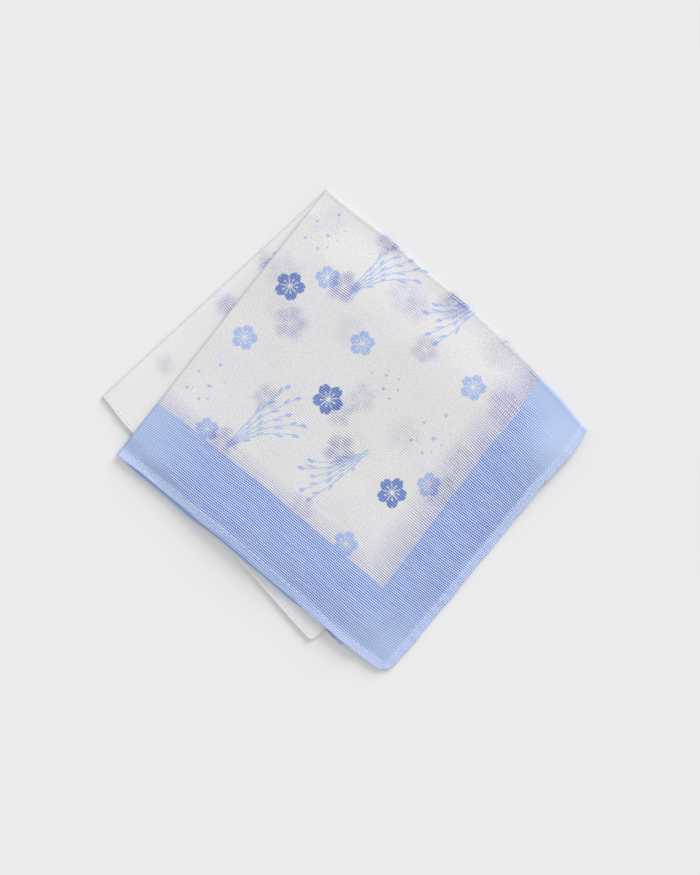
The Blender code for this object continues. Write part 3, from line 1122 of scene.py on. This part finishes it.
def gauze_material():
    graph = Graph("printed_gauze")
    across, along = graph.uv("cloth")
    to_fold = from_second_fold(across, along)
    rows, columns, crossings = weave_fields(across, along)
    bleed_x = noise(across, along, 1.3) - 0.5
    bleed_y = noise(across + 37, along, 1.3) - 0.5
    border, dark, light = print_inks(
        across + bleed_x * 0.7, along + bleed_y * 0.7, soft=0.28, fine=True
    )
    hem = hem_share(across, along)
    pale, smoother = paling_and_highlight(across, along, to_fold)
    bleed = bleed_share(across, along, border)
    by_dye = seen_through(across, along, border) * (1 - bleed)
    crisp = crispness(across, along, border, dark + light, by_dye, bleed, smoother)
    grain = noise(across, along, 0.8, detail=1.0)
    weave = (rows, columns, crossings)
    thread = thread_height(across, along, weave, border, hem, by_dye, crisp, grain)

    def tone(colours):
        return mix(thread, colours.gap, colours.thread)

    def in_gaps(share, in_gap, on_thread):
        return capped(share * ramp(thread, 0.05, 0.95, in_gap, on_thread))

    cream = ramp(noise(across, along + 20, 38, 30), 0.42, 0.60)
    cream = largest(cream - 3 * bleed, 0.0)
    white = stain(cream, tone(WHITE), CREAM)
    # Painted shade on the plainer side of the first fold, lighter towards the rear hem.
    strip_shade_share = ramp(across, 0.0, -6.0) * ramp(along, 320, 240, 0.3, 1.0)
    white = stain(strip_shade_share, white, PAINTED_STRIP_SHADE)
    # Painted highlight: the border paler near the second fold and its end; paler also near the
    # first fold and the front corner.
    blue = mix(pale, tone(BORDER), tone(PALE_BORDER_HIGHLIGHT))
    blue = mix(hem, blue, tone(HEM))
    colour = mix(border, white, blue)
    colour = mix(light * 0.85, colour, tone(LIGHT))
    colour = mix(dark, colour, tone(DARK))

    # The dye is paler on the back.
    [printed] = graph.fields("Attribute", {}, ("Fac",), attribute_name="printed")
    colour = mix(ramp(printed, 1.0, 0.0, 0.0, BACK_PALENESS), colour, tone(WHITE))

    # What lies beneath and what has crept show in the gaps between threads. A painted shadow
    # darkens the front hem that lies under the other.
    colour = stain(in_gaps(by_dye, 1.4, 0.08), colour, SHOW_THROUGH)
    lower_hem_shadow_share = under(along, FRONT_HEM_SEEN, 1.0) * ramp(across, -4, -8)
    colour = stain(lower_hem_shadow_share, colour, PAINTED_LOWER_HEM_SHADOW)
    colour = stain(in_gaps(bleed, 1.6, 0.06), colour, BLEED_COLOUR)
    # Painted shade: the rim of the second fold darker, a faint darkening near that fold, and a thin
    # dark line along the first fold.
    painted_fold_shade_share = largest(
        ramp(to_fold, 2.9, 1.3, 0.0, 0.58),
        ramp(to_fold, 34, 5, 0.0, 0.11) * ramp(across, 25, 85),
        ramp(abs(across), 1.5, 0.3, 0.0, 0.9),
    )
    colour = stain(painted_fold_shade_share, colour, PAINTED_FOLD_SHADE)

    height = (rows + 0.4 * crossings) * crisp * (1 - 0.6 * hem) + 0.3 * grain
    bump = {"Strength": BUMP_STRENGTH, "Distance": BUMP_HEIGHT, "Height": height}
    shading = {
        "Base Color": colour,
        "Normal": field_of("Bump", bump),
        "Roughness": ROUGHNESS,
        "Specular IOR Level": 0.2,
        "Sheen Weight": 0.06,
        "Sheen Roughness": 0.5,
    }
    graph.fill(graph.shader, shading)
    return graph.material


def simple_material(name, texture, inputs, colours, shading, **settings):
    """A material with one texture between two colours."""
    graph = Graph(name)
    [place] = graph.fields("TexCoord", {}, outputs=("Object",))
    [share] = graph.fields(texture, {"Vector": place, **inputs}, ("Fac",), **settings)
    graph.fill(graph.shader, {"Base Color": mix(share, *colours), **shading})
    return graph.material


def thread_material():
    """Twisted sewing thread."""
    return simple_material(
        "sewing_thread", "TexWave", {"Scale": 900.0, "Distortion": 1.5},
        (THREAD_SHADE, THREAD_COLOUR), {"Roughness": 0.6},
        wave_type="BANDS", bands_direction="DIAGONAL",
    )


def floor_material():
    return simple_material(
        "pale_floor", "TexNoise", {"Scale": 3.0},
        (FLOOR_SHADE, FLOOR_COLOUR), {"Roughness": 0.95, "Specular IOR Level": 0.0},
    )


# ---- Floor, light and camera

FLOOR_HALF = 14.0
SUN_STRENGTH = 2.5
SUN_SPREAD = math.radians(34)
SUN_ELEVATION = math.radians(21)
SUN_AZIMUTH = math.radians(95)  # from +X towards +Y
SKY_STRENGTH = 0.665
CAMERA_ABOVE = (0.0091, 0.0006)
CAMERA_HEIGHT = 1.2
CAMERA_TURN = math.radians(38.27)
FRAME_LONG_SIDE = 0.4438  # of the floor that the camera sees
SENSOR = 36.0


def make_floor():
    corners = np.array([(-1, -1, 0), (1, -1, 0), (1, 1, 0), (-1, 1, 0)]) * FLOOR_HALF
    floor = new_mesh_object("floor", corners, [(0, 1, 2, 3)], floor_material())


def make_light():
    sun = bpy.data.lights.new("window_light", "SUN")
    sun.energy = SUN_STRENGTH
    sun.angle = SUN_SPREAD
    lamp = bpy.data.objects.new("window_light", sun)
    lamp.rotation_euler = (0.0, math.pi / 2 - SUN_ELEVATION, SUN_AZIMUTH)
    bpy.context.scene.collection.objects.link(lamp)
    world = bpy.data.worlds.new("studio")
    bpy.context.scene.world = world
    world.use_nodes = True
    sky = world.node_tree.nodes["Background"]
    sky.inputs["Color"].default_value = (1.0, 1.0, 1.0, 1.0)
    sky.inputs["Strength"].default_value = SKY_STRENGTH
    bpy.context.scene.view_settings.view_transform = "Standard"


def make_camera():
    data = bpy.data.cameras.new("camera")
    data.sensor_width = SENSOR
    data.lens = SENSOR * CAMERA_HEIGHT / FRAME_LONG_SIDE
    camera = bpy.data.objects.new("camera", data)
    camera.location = (*CAMERA_ABOVE, CAMERA_HEIGHT)
    camera.rotation_euler = (0.0, 0.0, CAMERA_TURN)
    bpy.context.scene.collection.objects.link(camera)
    bpy.context.scene.camera = camera


# ---- The scene

make_camera()
make_light()
make_floor()
cloth = make_cloth(gauze_material())
stitches = make_stitches(thread_material())
centre_pieces([cloth, stitches])
for piece in (cloth, stitches):
    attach(piece, "root")
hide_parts("handkerchief")
